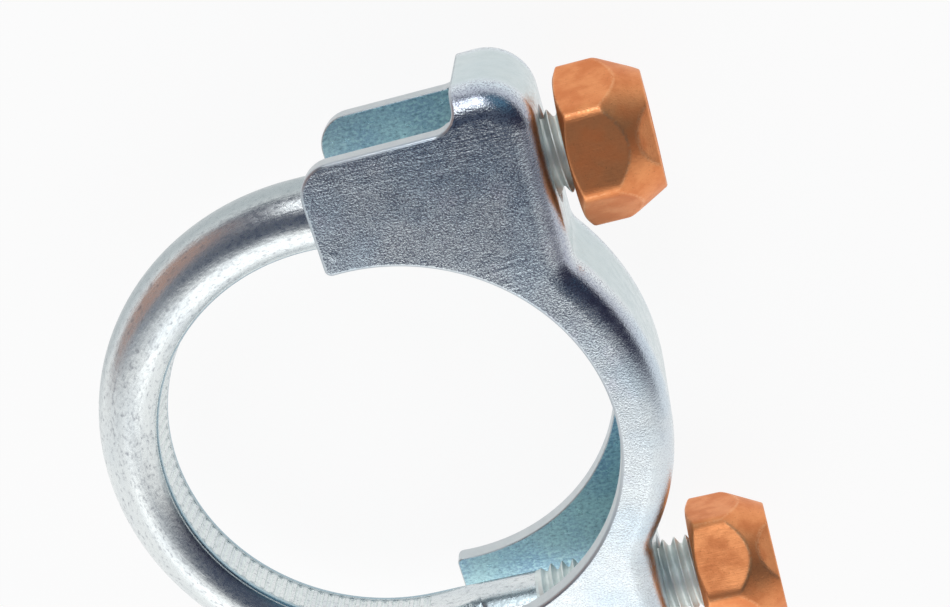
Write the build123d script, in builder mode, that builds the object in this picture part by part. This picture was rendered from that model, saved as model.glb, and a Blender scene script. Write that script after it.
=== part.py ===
from build123d import *
import math
import os

# Exhaust clamp: a U-bolt, a deep-drawn channel saddle and two crowned lock nuts.
# The pipe's axis is Z, the legs of the U-bolt run along +X towards the nuts.
# The origin is the centre of the saddle's pipe seat. All sizes are in millimetres.

# Saddle
pipe_radius = 25.5
sheet = 2.5
saddle_width = 21.0
bend_radius = 3.5
band_height = 6.5
seat_step = 6.5
hollow_radius = 3.0
end_wall_clearance = 5.4
seat_corner_radius = 6.0
lug_length = 8.5
lug_fillet = 2.5
ear_margin = 4.0
ear_reach = 2.0
ear_corner_radius = 4.0
tip_radius = 0.8

# U-bolt
rod_radius = 4.5
land_depth = 1.0
open_gap = 5.3
leg_end_x = 37.0
thread_radius = 5.0
thread_length = 28.0
leg_end_chamfer = 1.0
land_rib_pitch = 1.43
land_rib_width = 4.2
land_groove_depth = 0.3
land_groove_width = 0.7

# Holes and running fits
stud_clearance = 0.5
nut_running_gap = 0.05

# Nuts
across_flats = 17.0
nut_height = 10.0
nut_edge_radius = 0.6
seat_face_radius = 8.2
seat_face_rise = 0.9
crown_start = 4.5
crown_end_radius = 6.9
bore_chamfer = 0.5
crimp_count = 3
crimp_reach = 1.9
crimp_end_radius = 5.9
upper_nut_gap = 2.2
lower_nut_gap = 4.3
upper_nut_turn = 10.0
lower_nut_turn = 40.0

# How close a measured place must be to count as the same
tolerance = 0.01

# The legs just pass the pipe on both sides
leg_y = pipe_radius + rod_radius
half_width = saddle_width / 2
band_radius = pipe_radius + band_height
nut_seat_x = band_radius - seat_step
end_wall_y = leg_y + rod_radius + end_wall_clearance + sheet
ear_top_y = leg_y + rod_radius + ear_margin
lug_back_x = nut_seat_x - lug_length
bend_centre_x = -open_gap
land_radius = leg_y - rod_radius + land_depth
thread_start_x = leg_end_x - thread_length

# Centre of the rounded corner between the end wall and the nut seat
corner_x = nut_seat_x - seat_corner_radius
corner_y = end_wall_y - seat_corner_radius
# Centre of the hollow bend that joins the nut seat to the middle band
hollow_x = nut_seat_x + hollow_radius
hollow_y = math.sqrt((band_radius + hollow_radius) ** 2 - hollow_x**2)
hollow_turn = math.degrees(math.atan2(hollow_y, hollow_x))
# The pipe arc ends where it meets the ears' front edges
tip_angle = math.degrees(math.acos(-ear_reach / pipe_radius))
tip_y = pipe_radius * math.sin(math.radians(tip_angle))


def draw_half_web(inset):
    """Draw half of the web's line, moved inward from the outer face by inset."""
    Line((channel_back_x, end_wall_y - inset), (corner_x, end_wall_y - inset))
    CenterArc((corner_x, corner_y), seat_corner_radius - inset, 0, 90)
    Line((nut_seat_x - inset, corner_y), (nut_seat_x - inset, hollow_y))
    CenterArc((hollow_x, hollow_y), hollow_radius + inset, 180, hollow_turn)
    CenterArc((0, 0), band_radius - inset, 0, hollow_turn)


def bend_edges(block):
    """Return the edges where the web's faces meet the two flange faces of a block."""
    flange_edges = block.faces().filter_by(Axis.Z).edges()
    return flange_edges.filter_by(lambda edge: (edge @ 0.5).X > channel_back_x + tolerance)


# The outer form of the channel, with its bends, before it is trimmed
channel_back_x = -ear_reach - sheet
with BuildPart() as channel_block:
    with BuildSketch(Plane.XY):
        with BuildLine():
            draw_half_web(0)
            Line((channel_back_x, end_wall_y), (channel_back_x, 0))
            mirror(about=Plane.XZ)
        make_face()
    extrude(amount=half_width, both=True)
    fillet(bend_edges(channel_block), radius=bend_radius)

# The hollow inside the channel, open towards the pipe and between the ears
with BuildPart() as channel_hollow:
    with BuildSketch(Plane.XY):
        with BuildLine():
            draw_half_web(sheet)
            Line((channel_back_x, end_wall_y - sheet), (channel_back_x, 0))
            mirror(about=Plane.XZ)
        make_face()
    extrude(amount=half_width - sheet, both=True)
    chamfer(bend_edges(channel_hollow), length=bend_radius - sheet)

# The trimmed outline: lugs, ears and the pipe's arc, cut square through the channel
ear_corner_x = ear_corner_radius - ear_reach
with BuildPart() as saddle:
    with BuildSketch(Plane.XY):
        with BuildLine():
            Line((band_radius + sheet, 0), (band_radius + sheet, end_wall_y + sheet))
            Line((band_radius + sheet, end_wall_y + sheet), (lug_back_x, end_wall_y + sheet))
            Line((lug_back_x, end_wall_y + sheet), (lug_back_x, ear_top_y + lug_fillet))
            CenterArc((lug_back_x - lug_fillet, ear_top_y + lug_fillet), lug_fillet, 270, 90)
            Line((lug_back_x - lug_fillet, ear_top_y), (ear_corner_x, ear_top_y))
            CenterArc((ear_corner_x, ear_top_y - ear_corner_radius), ear_corner_radius, 90, 90)
            Line((-ear_reach, ear_top_y - ear_corner_radius), (-ear_reach, tip_y))
            CenterArc((0, 0), pipe_radius, 0, tip_angle)
            mirror(about=Plane.XZ)
        make_face()
    extrude(amount=half_width, both=True)
    tips = saddle.edges().filter_by(Axis.Z).filter_by(
        lambda edge: abs((edge @ 0.5).X + ear_reach) < tolerance
        and abs(abs((edge @ 0.5).Y) - tip_y) < tolerance
    )
    fillet(tips, radius=tip_radius)
    add(channel_block.part, mode=Mode.INTERSECT)
    add(channel_hollow.part, mode=Mode.SUBTRACT)
    with BuildSketch(Plane.YZ.offset(lug_back_x)):
        with Locations((leg_y, 0), (-leg_y, 0)):
            Circle(thread_radius + stud_clearance)
    extrude(amount=lug_length + sheet, mode=Mode.SUBTRACT)
saddle.part.label = "saddle"

with BuildPart() as u_bolt:
    with BuildLine():
        Line((thread_start_x, leg_y), (bend_centre_x, leg_y))
        CenterArc((bend_centre_x, 0), leg_y, 90, 180)
        Line((bend_centre_x, -leg_y), (thread_start_x, -leg_y))
    with BuildSketch(Plane.YZ.offset(thread_start_x)):
        with Locations((leg_y, 0)):
            Circle(rod_radius)
    sweep()
    # The threaded length of each leg, from the run-out to the chamfered end
    for centre_y in (leg_y, -leg_y):
        with BuildSketch(Plane.XY):
            with Locations((0, centre_y)):
                Polygon(
                    (thread_start_x, 0),
                    (thread_start_x, rod_radius),
                    (thread_start_x + thread_radius - rod_radius, thread_radius),
                    (leg_end_x - leg_end_chamfer, thread_radius),
                    (leg_end_x, thread_radius - leg_end_chamfer),
                    (leg_end_x, 0),
                    align=None,
                )
        revolve(axis=Axis((0, centre_y, 0), (1, 0, 0)))
    # The land pressed flat on the inside of the bend, and its cross grooves
    with BuildSketch(Plane.XY.offset(-rod_radius)):
        with Locations((bend_centre_x, 0)):
            Circle(land_radius)
    extrude(amount=2 * rod_radius, mode=Mode.SUBTRACT)
    land_groove_count = round(math.pi * land_radius / land_rib_pitch)
    with BuildSketch(Plane.XY.offset(-land_rib_width / 2)):
        with Locations((bend_centre_x, 0)):
            with PolarLocations(land_radius, land_groove_count, 90, 180):
                Polygon(
                    (-land_groove_depth, -land_groove_width),
                    (-land_groove_depth, land_groove_width),
                    (land_groove_depth, 0),
                    align=None,
                )
    extrude(amount=land_rib_width, mode=Mode.SUBTRACT)
u_bolt.part.label = "u_bolt"


def make_nut(centre_y, gap, turn):
    """Make one crowned lock nut on the leg at centre_y, turned about it by an angle."""
    inner_x = nut_seat_x + gap
    corner_radius = across_flats / math.sqrt(3)
    bore_radius = thread_radius + nut_running_gap
    nut_axis = Axis((0, centre_y, 0), (1, 0, 0))
    with BuildPart() as nut:
        with BuildSketch(Plane.YZ.offset(inner_x)):
            with Locations((centre_y, 0)):
                RegularPolygon(across_flats / 2, 6, major_radius=False, rotation=-turn)
        extrude(amount=nut_height)
        fillet(nut.edges().filter_by(Axis.X), radius=nut_edge_radius)
        with BuildSketch(Plane.XY):
            with Locations((inner_x, centre_y)):
                Polygon(
                    (0, 0),
                    (0, seat_face_radius),
                    (seat_face_rise, corner_radius),
                    (crown_start, corner_radius),
                    (nut_height, crown_end_radius),
                    (nut_height, 0),
                    align=None,
                )
        revolve(axis=nut_axis, mode=Mode.INTERSECT)
        with BuildSketch(Plane.XY):
            with Locations((inner_x, centre_y)):
                Polygon(
                    (0, 0),
                    (0, bore_radius + bore_chamfer),
                    (bore_chamfer, bore_radius),
                    (nut_height - bore_chamfer, bore_radius),
                    (nut_height, bore_radius + bore_chamfer),
                    (nut_height, 0),
                    align=None,
                )
        revolve(axis=nut_axis, mode=Mode.SUBTRACT)
        crown_slope = (corner_radius - crown_end_radius) / (nut_height - crown_start)
        crimp_top_radius = crown_end_radius + crown_slope * crimp_reach
        for index in range(crimp_count):
            angle = math.radians(turn + 360 / crimp_count * index)
            outward = Vector(0, math.sin(angle), math.cos(angle))
            along = Vector(1, 0, 0)
            crimp_plane = Plane(
                origin=(inner_x + nut_height, centre_y, 0), x_dir=along, z_dir=along.cross(outward)
            )
            with BuildSketch(crimp_plane):
                Polygon(
                    (0, crimp_end_radius),
                    (-crimp_reach, crimp_top_radius),
                    (-crimp_reach, across_flats),
                    (crimp_reach, across_flats),
                    (crimp_reach, crimp_end_radius),
                    align=None,
                )
            extrude(amount=across_flats / 2, both=True, mode=Mode.SUBTRACT)
    return nut.part


upper_nut = make_nut(leg_y, upper_nut_gap, upper_nut_turn)
upper_nut.label = "upper_nut"
lower_nut = make_nut(-leg_y, lower_nut_gap, lower_nut_turn)
lower_nut.label = "lower_nut"

os.makedirs("parts", exist_ok=True)
export_step(saddle.part, "parts/saddle.step")
export_step(u_bolt.part, "parts/u_bolt.step")
export_step(upper_nut, "parts/upper_nut.step")
export_step(lower_nut, "parts/lower_nut.step")
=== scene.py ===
"""Looks of an exhaust clamp: a drawn channel saddle, a U-bolt and two crowned lock nuts."""

import logging
import math
from dataclasses import dataclass, field
from enum import Enum

import bmesh
import bpy
import numpy as np
from mathutils import Matrix, Vector


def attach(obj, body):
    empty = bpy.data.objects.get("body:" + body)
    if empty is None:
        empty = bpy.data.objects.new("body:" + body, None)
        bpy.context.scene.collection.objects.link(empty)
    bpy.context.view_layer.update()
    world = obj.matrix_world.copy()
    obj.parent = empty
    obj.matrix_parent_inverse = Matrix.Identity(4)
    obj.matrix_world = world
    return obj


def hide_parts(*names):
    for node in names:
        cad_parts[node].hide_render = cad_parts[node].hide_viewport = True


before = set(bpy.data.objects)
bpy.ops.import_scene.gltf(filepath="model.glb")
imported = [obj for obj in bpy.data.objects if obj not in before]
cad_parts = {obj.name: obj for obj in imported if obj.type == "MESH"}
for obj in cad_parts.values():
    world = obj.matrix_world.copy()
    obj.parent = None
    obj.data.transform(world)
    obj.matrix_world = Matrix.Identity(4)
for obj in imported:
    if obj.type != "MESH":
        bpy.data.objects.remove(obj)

MM = 0.001
FULL_TURN = 2.0 * math.pi
UP = np.array([0.0, 0.0, 1.0])
# How near a point must be to a face to count as lying on it, in millimetres
TOUCH = 1e-3
# Points nearer than this are welded, and edges shorter than the other are dropped, in metres
WELD_DISTANCE = 2e-7
NO_LENGTH = 1e-7
# Where most of a noise's values lie
NOISE_SPAN = (0.3, 0.7)

Array = np.ndarray
Pair = tuple[float, float]
Triple = tuple[float, float, float]
Colour = tuple[float, float, float]
Socket = bpy.types.NodeSocket

log = logging.getLogger("exhaust_clamp")


class Side(Enum):
    """Which leg of the U-bolt something sits on, as the sign of its y."""

    UPPER = 1.0
    LOWER = -1.0


class Stored(Enum):
    """What kind of value is read from a piece's points."""

    NUMBER = "Fac"
    VECTOR = "Vector"


class Zone(Enum):
    """What part of a piece a point lies on: its plain outside, a rim or thread, an inside or land."""

    OUTSIDE = 0.0
    EDGE = 1.0
    INSIDE = 2.0


def ease(share: Array) -> Array:
    """Limit a share to 0 to 1 and soften both of its ends."""
    limited = np.clip(share, 0.0, 1.0)
    return limited * limited * (3.0 - 2.0 * limited)


def smooth_max(first: Array, second: Array, width: float) -> Array:
    """Join distances outside two faces by the larger one, rounded over a width where they meet."""
    share = np.maximum(width - np.abs(first - second), 0.0) / width
    return np.maximum(first, second) + share * share * width * 0.25


def arc_points(centre: Pair, radius: float, start: float, turn: float, steps: int) -> Array:
    """Points along an arc in the XY plane.

    Args:
        centre: The arc's centre.
        radius: The arc's radius.
        start: The angle of the first point, in degrees.
        turn: The angle from the first to the last point, in degrees.
        steps: How many steps the arc is divided into.

    Returns:
        An array of steps + 1 rows, each x, y and the outward direction's x, y.
    """
    angles = np.radians(np.linspace(start, start + turn, steps + 1))
    outward = np.stack([np.cos(angles), np.sin(angles)], axis=1)
    return np.hstack([np.array(centre) + radius * outward, outward])


def with_mirror(upper: Array) -> Array:
    """Follow a line's upper half by its mirror image, from the middle to the lower end."""
    return np.concatenate([upper, upper[:-1][::-1] * np.array([1.0, -1.0, 1.0, -1.0])])


def lift(flat: Array, z: float = 0.0) -> Array:
    """Give rows of x, y a height."""
    return np.column_stack([flat, np.full(len(flat), z)])


def link_object(name: str, data: object) -> bpy.types.Object:
    """Make an object at the origin and link it into the scene."""
    made = bpy.data.objects.new(name, data)
    bpy.context.scene.collection.objects.link(made)
    return made


@dataclass
class MeshDraft:
    """Points, normals and faces of a piece while it is being made, in millimetres."""

    points: list[Array] = field(default_factory=list)
    normals: list[Array] = field(default_factory=list)
    laid: list[Array] = field(default_factory=list)
    zones: list[Array] = field(default_factory=list)
    faces: list[tuple[int, ...]] = field(default_factory=list)
    count: int = 0

    def add(
        self,
        points: Array,
        normals: Array | None = None,
        zone: Zone | Array = Zone.OUTSIDE,
        laid: Array | None = None,
    ) -> Array:
        """Add points and return their numbers, in the shape of the points' array.

        Args:
            points: An array whose last axis is x, y, z.
            normals: The surface normals at the points, in the same shape.
            zone: The part of the surface that they lie on, or a value for each point.
            laid: Where the points lie when the piece is laid out straight, in the same shape.

        Returns:
            The points' numbers.
        """
        flat = np.asarray(points, float).reshape(-1, 3)
        self.points.append(flat)
        self.normals.append(np.zeros_like(flat) if normals is None else np.reshape(normals, (-1, 3)))
        self.laid.append(flat if laid is None else np.reshape(laid, (-1, 3)))
        value = zone.value if isinstance(zone, Zone) else np.reshape(zone, -1)
        self.zones.append(np.zeros(len(flat)) + value)
        numbers = np.arange(self.count, self.count + len(flat))
        self.count += len(flat)
        return numbers.reshape(np.shape(points)[:-1])

    def grid(self, numbers: Array, flip: bool = False, wrap: bool = False) -> None:
        """Join a grid of points with four-sided faces.

        Args:
            numbers: The points' numbers, as rows and columns.
            flip: Whether the faces look the other way.
            wrap: Whether the last column joins the first.
        """
        if wrap:
            numbers = np.concatenate([numbers, numbers[:, :1]], axis=1)
        corners = [numbers[:-1, :-1], numbers[1:, :-1], numbers[1:, 1:], numbers[:-1, 1:]]
        if flip:
            corners.reverse()
        self.faces.extend(map(tuple, np.stack(corners, axis=-1).reshape(-1, 4).tolist()))

    def make_piece(self, name: str) -> bpy.types.Object:
        """Make the Blender object, at the origin, with its place in its mesh.

        Args:
            name: The piece's name.

        Returns:
            The object, linked into the scene and shaded smooth.
        """
        points = np.concatenate(self.points)
        normals = np.concatenate(self.normals)
        mesh = bpy.data.meshes.new(name)
        mesh.from_pydata((points * MM).tolist(), [], self.faces)
        mesh.update()
        mesh.shade_smooth()
        laid = mesh.attributes.new("laid", "FLOAT_VECTOR", "POINT")
        laid.data.foreach_set("vector", (np.concatenate(self.laid) * MM).astype(np.float32).ravel())
        zone = mesh.attributes.new("zone", "FLOAT", "POINT")
        zone.data.foreach_set("value", np.concatenate(self.zones).astype(np.float32))
        every_normal_given = np.abs(normals).sum(axis=1).min() > 0
        if every_normal_given:
            for face in mesh.polygons:
                if face.normal @ Vector(normals[list(face.vertices)].sum(axis=0)) < 0:
                    face.flip()
            mesh.update()
            lengths = np.linalg.norm(normals, axis=1, keepdims=True)
            mesh.normals_split_custom_set_from_vertices((normals / lengths).tolist())
        return link_object(name, mesh)


def weld(piece: bpy.types.Object, sharp_degrees: float) -> None:
    """Join points that lie on each other, drop faces of no area and mark sharp edges.

    Args:
        piece: The piece that is cleaned.
        sharp_degrees: The angle between two faces from which their edge is sharp.
    """
    work = bmesh.new()
    work.from_mesh(piece.data)
    bmesh.ops.remove_doubles(work, verts=work.verts, dist=WELD_DISTANCE)
    bmesh.ops.dissolve_degenerate(work, edges=work.edges, dist=NO_LENGTH)
    bmesh.ops.recalc_face_normals(work, faces=work.faces)
    work.to_mesh(piece.data)
    work.free()
    piece.data.shade_smooth()
    piece.data.set_sharp_from_angle(angle=math.radians(sharp_degrees))


@dataclass
class Thread:
    """A right-hand metric thread about a line along X, with its profile over one turn."""

    crest: float = 5.0
    depth: float = 0.92
    pitch: float = 1.5
    start_x: float = 9.0
    shares: tuple[float, ...] = (0.0, 0.09, 0.14, 0.42, 0.455, 0.5, 0.545, 0.58, 0.86, 0.91)
    heights: tuple[float, ...] = (0.0, 0.02, 0.1, 0.92, 0.99, 1.0, 0.99, 0.92, 0.1, 0.02)

    def radius(self, x: Array, angle: Array) -> Array:
        """The surface's radius at places along the leg and angles about it, from +Y towards +Z."""
        share = np.mod((x - self.start_x) / self.pitch - angle / FULL_TURN, 1.0)
        height = np.interp(share, [*self.shares, 1.0], [*self.heights, self.heights[0]])
        return self.crest - self.depth * (1.0 - height)


@dataclass(frozen=True)
class Station:
    """A place along the bar: its centre, its way out from the pipe, the land's floor and groove."""

    centre: Array
    outward: Array
    floor: float
    groove: float = 0.0


@dataclass
class UBolt:
    """The bent round bar with its pressed land and its two threaded legs."""

    rod_radius: float = 4.5
    pipe_radius: float = 25.5
    open_gap: float = 5.3
    land_depth: float = 1.0
    leg_end_x: float = 37.0
    leg_end_chamfer: float = 1.0
    rib_pitch: float = 1.43
    rib_half_width: float = 1.9
    rib_fade: float = 0.6
    rib_depth: float = 0.3
    groove_shape: float = 0.8
    groove_margin: float = 0.3
    groove_tint: float = 0.8
    border_half_width: float = 2.3
    narrowest_land: float = 0.05
    blended_land: float = 1.2
    land_shares: tuple[float, ...] = (0.0, 0.3, 0.58, 0.67, 0.74, 0.81, 0.88, 0.94, 0.985, 1.0)
    crowding: float = 1.15
    columns: int = 72
    steps_per_rib: int = 8
    plain_steps: int = 12
    run_out_steps: int = 22
    thread_start_gap: float = 0.02
    thread_run_in: float = 1.2
    sharp_degrees: float = 42.0
    thread: Thread = field(default_factory=Thread)

    @property
    def leg_y(self) -> float:
        """Distance of each leg's centre line from the pipe's axis."""
        return self.pipe_radius + self.rod_radius

    @property
    def land_floor(self) -> float:
        """Distance of the pressed land from the bar's centre line."""
        return self.rod_radius - self.land_depth

    def section_angles(self, floor: float) -> Array:
        """Angles of the section's points, closer together where the land's borders are.

        Args:
            floor: Distance of the land from the bar's centre line.

        Returns:
            Angles about the bar's line, where a half turn looks at the pipe.
        """
        even = np.linspace(0.0, FULL_TURN, self.columns, endpoint=False)
        half = math.sqrt(max(self.rod_radius**2 - floor**2, 0.0))
        if half < self.narrowest_land:
            return even
        flat = np.arctan2(np.array(self.land_shares) * half, -floor)[::-1]
        bare_count = (self.columns - 2 * len(flat) + 2) // 2
        left = 1.0 - np.linspace(0.0, 1.0, bare_count + 1)[:-1]
        upper = np.concatenate([flat[0] * (1.0 - left**self.crowding), flat])
        tied = np.concatenate([upper, FULL_TURN - upper[1:-1][::-1]])
        share = min(1.0, half / self.blended_land)
        return tied * share + even * (1.0 - share)

    def section(self, floor: float, groove: float) -> tuple[Array, Array]:
        """The bar's section with its land.

        Args:
            floor: Distance of the land from the bar's centre line.
            groove: Depth of the cross groove at this place.

        Returns:
            The points' distances outward from the pipe, and their heights along Z.
        """
        angles = self.section_angles(floor)
        inward = np.maximum(-np.cos(angles), 1e-6)
        reach = np.minimum(self.rod_radius, floor / inward)
        out, high = reach * np.cos(angles), reach * np.sin(angles)
        on_ribs = ease((self.rib_half_width + self.rib_fade - np.abs(high)) / self.rib_fade)
        return out + groove * on_ribs * (out < -floor + TOUCH), high

    def leg_stations(self, side: Side) -> list[Station]:
        """Places along a leg, from its thread to its bend, over the land's run-out.

        Args:
            side: Which leg it is.

        Returns:
            The places, whose floor rises where the land begins.
        """
        cut = self.leg_y - self.land_floor
        run_out = math.sqrt(cut**2 - self.pipe_radius**2)
        plain = np.linspace(self.thread.start_x, run_out - self.open_gap, self.plain_steps)
        pressed = np.linspace(run_out, 0.0, self.run_out_steps)[1:-1] - self.open_gap
        made = []
        for x in np.concatenate([plain, pressed]):
            rest = max(cut**2 - (x + self.open_gap) ** 2, self.pipe_radius**2)
            floor = min(self.leg_y - math.sqrt(rest), self.rod_radius)
            centre = np.array([x, side.value * self.leg_y, 0.0])
            made.append(Station(centre, np.array([0.0, side.value, 0.0]), floor))
        return made

    def bend_stations(self) -> list[Station]:
        """Places round the bend, with the land's cross grooves."""
        ribs = round(math.pi * (self.leg_y - self.land_floor) / self.rib_pitch)
        steps = ribs * self.steps_per_rib
        made = []
        for step in range(steps + 1):
            angle = math.pi * (0.5 + step / steps)
            outward = np.array([math.cos(angle), math.sin(angle), 0.0])
            centre = np.array([-self.open_gap, 0.0, 0.0]) + self.leg_y * outward
            wave = 0.5 - 0.5 * math.cos(FULL_TURN * step / self.steps_per_rib)
            made.append(Station(centre, outward, self.land_floor, self.rib_depth * wave**self.groove_shape))
        return made

    def bar(self, draft: MeshDraft) -> Array:
        """Make the plain and ribbed part of the bar.

        Args:
            draft: The mesh that it is added to.

        Returns:
            The numbers of its points, a row for each place along the bar.
        """
        upper, lower = (self.leg_stations(side) for side in Side)
        places = [*upper, *self.bend_stations(), *lower[::-1]]
        rows, laid, zones = [], [], []
        length, before = 0.0, places[0].centre
        for place in places:
            out, high = self.section(place.floor, place.groove)
            length += float(np.linalg.norm(place.centre - before))
            before = place.centre
            rows.append(place.centre + out[:, None] * place.outward + high[:, None] * UP)
            laid.append(np.stack([np.full_like(out, length), out, high], 1))
            flat = out < -place.floor + self.rib_depth + TOUCH
            border = flat & (np.abs(high) > self.border_half_width)
            ribbed = flat & (np.abs(high) < self.rib_half_width + self.groove_margin)
            tint = np.where(border, 1.0, self.groove_tint * ribbed * place.groove / self.rib_depth)
            zones.append(Zone.INSIDE.value * tint)
        numbers = draft.add(np.stack(rows), zone=np.stack(zones), laid=np.stack(laid))
        draft.grid(numbers, flip=True, wrap=True)
        return numbers

    def thread_points(self, side: Side) -> tuple[Array, Array]:
        """Points of one leg's thread, whose rows climb with it.

        Args:
            side: Which leg it is.

        Returns:
            The points, and each column's share of a turn.
        """
        thread = self.thread
        local = np.arange(self.columns) / self.columns * FULL_TURN
        about = local if side is Side.UPPER else math.pi - local
        phase = np.mod(about, FULL_TURN) / FULL_TURN
        turns = math.ceil((self.leg_end_x - thread.start_x) / thread.pitch) + 2
        shares = np.concatenate([np.array(thread.shares) + turn for turn in range(-1, turns)])
        x = thread.start_x + thread.pitch * (shares[:, None] + phase)
        x = np.clip(x, thread.start_x + self.thread_start_gap, self.leg_end_x)
        grown = ease((x - thread.start_x) / (self.thread_run_in * thread.pitch))
        radius = self.rod_radius + (thread.radius(x, about) - self.rod_radius) * grown
        radius = np.minimum(radius, thread.crest - self.leg_end_chamfer + (self.leg_end_x - x))
        y = side.value * self.leg_y + radius * np.cos(about)
        return np.stack([x, y, radius * np.sin(about)], axis=-1), phase

    def threaded_leg(self, draft: MeshDraft, side: Side, first_ring: Array) -> None:
        """Make one leg's thread and its chamfered end.

        Args:
            draft: The mesh that it is added to.
            side: Which leg it is.
            first_ring: The numbers of the bar's last ring, which the thread grows from.
        """
        points, phase = self.thread_points(side)
        numbers = draft.add(points, zone=Zone.EDGE)
        rows, per_turn = len(numbers), len(self.thread.shares)
        for column in range(self.columns):
            following = (column + 1) % self.columns
            shift = per_turn * round(float(phase[column] - phase[following]))
            start, stop = max(0, -shift), min(rows, rows - shift)
            pair = [numbers[start:stop, column], numbers[start + shift : stop + shift, following]]
            draft.grid(np.stack(pair, axis=1), flip=side is Side.UPPER)
        draft.grid(np.stack([first_ring, numbers[0]]), flip=side is Side.LOWER, wrap=True)
        cap = draft.add(np.array([[self.leg_end_x, side.value * self.leg_y, 0.0]]), zone=Zone.EDGE)
        for near, far in zip(numbers[-1].tolist(), np.roll(numbers[-1], -1).tolist()):
            triangle = (near, far, int(cap[0]))
            draft.faces.append(triangle if side is Side.UPPER else triangle[::-1])

    def build(self) -> bpy.types.Object:
        """Make the U-bolt as one closed piece that stands for its CAD node."""
        draft = MeshDraft()
        numbers = self.bar(draft)
        self.threaded_leg(draft, Side.UPPER, numbers[0])
        self.threaded_leg(draft, Side.LOWER, numbers[-1])
        piece = draft.make_piece("u_bolt_bar")
        weld(piece, self.sharp_degrees)
        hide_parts("u_bolt")
        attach(piece, "u_bolt")
        return piece


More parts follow.
